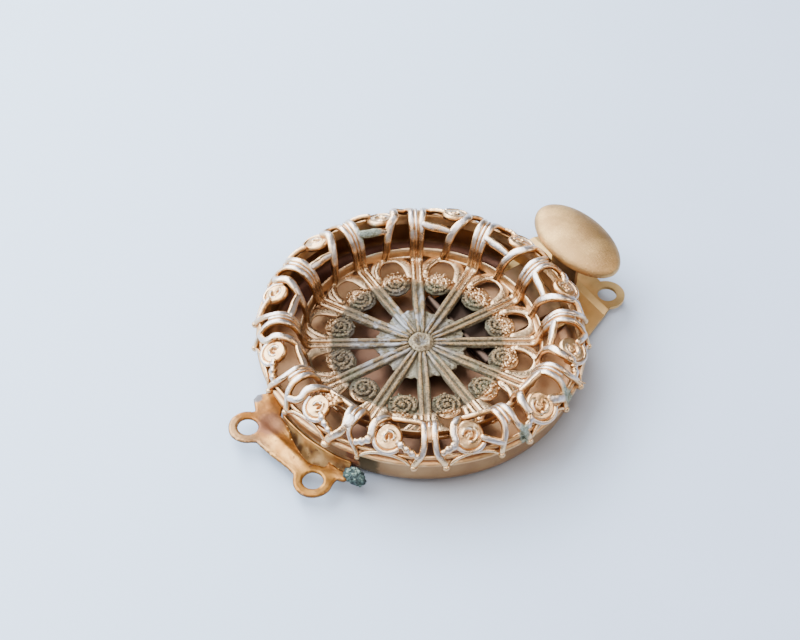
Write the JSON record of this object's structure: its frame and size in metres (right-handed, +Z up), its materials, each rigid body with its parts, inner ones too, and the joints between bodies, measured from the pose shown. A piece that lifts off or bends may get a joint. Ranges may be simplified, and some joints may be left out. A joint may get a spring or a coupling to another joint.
{
  "type": "jewellery clasp",
  "caption": "Round gilt brass filigree box clasp for a two-strand necklace, with a pull-out tongue, an oval thumb press and eyelets at both ends.",
  "frame": {"origin": "the centre of the box's flat underside, on the surface that it lies on", "axes": "+Z up out of the open filigree dish, +X the way the tongue pulls out, +Y to the left of that"},
  "size_m": [0.0278, 0.021, 0.0044],
  "materials": {
    "box_sheet": "smooth drawn gilt brass sheet, dulled",
    "filigree_gilt": "gilt brass casting, bright on the ridges, tarnished in the dish",
    "end_copper": "glossy copper-coloured brass where the gilt has worn through",
    "tongue_sheet": "satin gilt brass sheet",
    "leaf_sheet": "dull spring brass",
    "press_brushed": "fine brushed gilt brass"
  },
  "bodies": {
    "box": {"pan": "box_sheet", "filigree_cup": "filigree_gilt", "end_plate": "end_copper"},
    "tongue": {"tongue_plate": "tongue_sheet"},
    "press": {"spring_leaf": "leaf_sheet", "thumb_press": "press_brushed"}
  },
  "joints": [
    {"name": "pull", "type": "slide", "parent": "box", "child": "tongue", "axis": [1, 0, 0], "range_m": [0, 0.0082]},
    {"name": "press", "type": "hinge", "parent": "tongue", "child": "press", "pos_m": [0.003, 0, 0.0007], "axis": [0, 1, 0], "range_deg": [0, 2.5], "stiffness_Nm_per_rad": 0.1}
  ]
}
